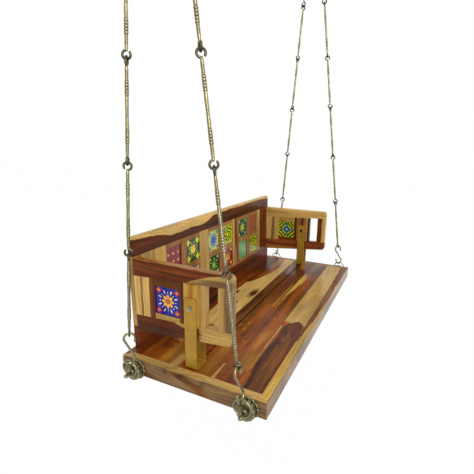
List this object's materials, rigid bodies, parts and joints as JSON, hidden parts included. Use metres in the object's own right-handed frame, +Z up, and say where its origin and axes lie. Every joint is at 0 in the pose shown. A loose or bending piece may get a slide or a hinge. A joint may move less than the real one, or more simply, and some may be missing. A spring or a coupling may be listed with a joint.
{
  "type": "jhoola swing",
  "caption": "Wooden swing seat with a tiled backrest and arms, hung from ceiling hooks by chains of turned brass rod links, S-hooks and corner rings.",
  "frame": {"origin": "on the ceiling plane, midway between the two ceiling hooks", "axes": "+X along the seat towards the sitter's left hand, +Z up, -Y the way the bench faces"},
  "size_m": [1.406, 0.5039, 2.0808],
  "materials": {
    "wood_seat": "polished sheesham, brown heartwood and pale sapwood",
    "wood_back": "polished sheesham",
    "wood_arm": "polished sheesham",
    "tile": "hand-painted glaze",
    "brass": "antique brass",
    "strap_paint": "antique gold paint",
    "bolt_steel": "zinc-plated"
  },
  "bodies": {
    "ceiling": {"ceiling_plates": "brass", "ceiling_hooks": "brass"},
    "top_rings": {"top_rings": "brass"},
    "left_chains": {"chain_front_left": "brass", "chain_rear_left": "brass", "s_hooks_left": "brass"},
    "right_chains": {"chain_front_right": "brass", "chain_rear_right": "brass", "s_hooks_right": "brass"},
    "seat": {"seat_rings": "brass", "ring_studs": "brass", "rosettes": "brass", "seat_plank_1": "wood_seat", "seat_plank_2": "wood_seat", "seat_plank_3": "wood_seat", "seat_plank_4": "wood_seat", "seat_plank_5": "wood_seat", "apron_front": "wood_seat", "apron_rear": "wood_seat", "apron_left": "wood_seat", "apron_right": "wood_seat", "seat_battens": "wood_seat", "back_top_rail": "wood_back", "back_bottom_rail": "wood_back", "back_stile_left": "wood_back", "back_stile_right": "wood_back", "back_posts": "wood_back", "back_side_strips": "wood_back", "back_side_panels": "wood_back", "back_slats": "wood_back", "back_boards": "wood_back", "back_tile_1": "tile", "back_tile_2": "tile", "back_tile_3": "tile", "back_tile_4": "tile", "back_tile_5": "tile", "back_tile_6": "tile", "back_tile_7": "tile", "back_tile_8": "tile", "back_tile_9": "tile", "back_tile_10": "tile", "back_tile_11": "tile", "back_tile_12": "tile", "left_arm_tiles": "tile", "right_arm_tiles": "tile", "left_arm_top_rail": "wood_arm", "left_arm_bottom_rail": "wood_arm", "left_arm_front_stile": "wood_arm", "left_arm_rear_panel": "wood_arm", "left_arm_slats": "wood_arm", "left_arm_post": "wood_arm", "left_arm_strap": "strap_paint", "right_arm_top_rail": "wood_arm", "right_arm_bottom_rail": "wood_arm", "right_arm_front_stile": "wood_arm", "right_arm_rear_panel": "wood_arm", "right_arm_slats": "wood_arm", "right_arm_post": "wood_arm", "right_arm_strap": "strap_paint", "arm_bolts": "bolt_steel"}
  },
  "joints": [
    {"name": "swing", "type": "hinge", "parent": "ceiling", "child": "top_rings", "pos_m": [0, 0, -0.09], "axis": [1, 0, 0], "range_deg": [-30, 30]},
    {"name": "sway", "type": "hinge", "parent": "top_rings", "child": "left_chains", "pos_m": [-0.658, 0, -0.13768], "axis": [0, 1, 0], "range_deg": [-6, 6]},
    {"name": "seat_level", "type": "hinge", "parent": "left_chains", "child": "seat", "pos_m": [-0.658, -0.0638, -2.00118], "axis": [0, 1, 0], "range_deg": [-6, 6]},
    {"name": "sway_right", "type": "hinge", "parent": "top_rings", "child": "right_chains", "pos_m": [0.658, 0, -0.13768], "axis": [0, 1, 0], "range_deg": [-6, 6]}
  ],
  "couplings": [
    {"joint": "seat_level", "follows": "sway", "ratio": -1},
    {"joint": "sway_right", "follows": "sway", "ratio": 1}
  ]
}
